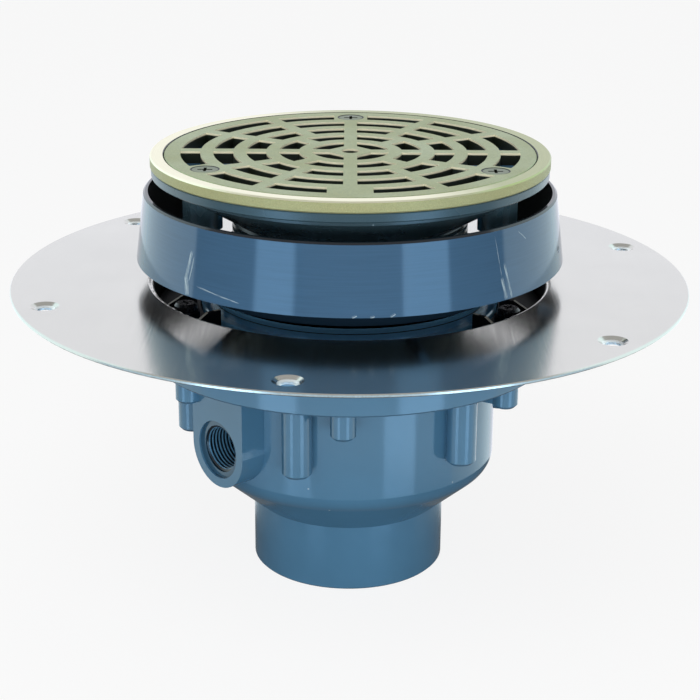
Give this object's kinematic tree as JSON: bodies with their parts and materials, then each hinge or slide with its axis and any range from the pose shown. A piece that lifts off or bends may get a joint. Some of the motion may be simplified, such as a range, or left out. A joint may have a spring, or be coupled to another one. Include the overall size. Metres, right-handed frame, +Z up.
{
  "type": "floor drain",
  "caption": "Round adjustable floor drain: slotted bronze grate and rim on a threaded plastic head, coring sleeve, wide stainless flange, and a body with a bottom outlet and side tapping.",
  "frame": {"origin": "centre of the outlet's open end, where the drain stands in the picture", "axes": "+Z up along the outlet and the head, towards the grate; +X to the right in the picture; -Y towards the camera"},
  "size_m": [0.3048, 0.3048, 0.1946],
  "materials": {
    "bronze": "cast nickel bronze, satin",
    "blue_plastic": "moulded PVC, glossy",
    "dark_plastic": "moulded, satin",
    "stainless": "brushed stainless sheet",
    "black_steel": "black oxide",
    "screw_steel": "bright stainless",
    "brass": "turned brass",
    "gasket": "matte rubber"
  },
  "bodies": {
    "base": {"drain_body": "blue_plastic", "flange_gasket": "gasket", "steel_flange": "stainless", "clamp_ring": "dark_plastic", "coring_sleeve": "blue_plastic", "clamp_screw_1": "black_steel", "clamp_screw_2": "black_steel", "clamp_screw_3": "black_steel"},
    "head": {"adjustable_head": "blue_plastic", "top_rim": "bronze", "strainer_grate": "bronze", "grate_screw_1": "screw_steel", "grate_screw_2": "screw_steel", "grate_screw_3": "screw_steel", "head_insert_1": "brass", "head_insert_2": "brass", "head_insert_3": "brass"}
  },
  "joints": [
    {"name": "head_height", "type": "slide", "parent": "base", "child": "head", "axis": [0, 0, 1], "range_m": [-0.016, 0.012]}
  ]
}
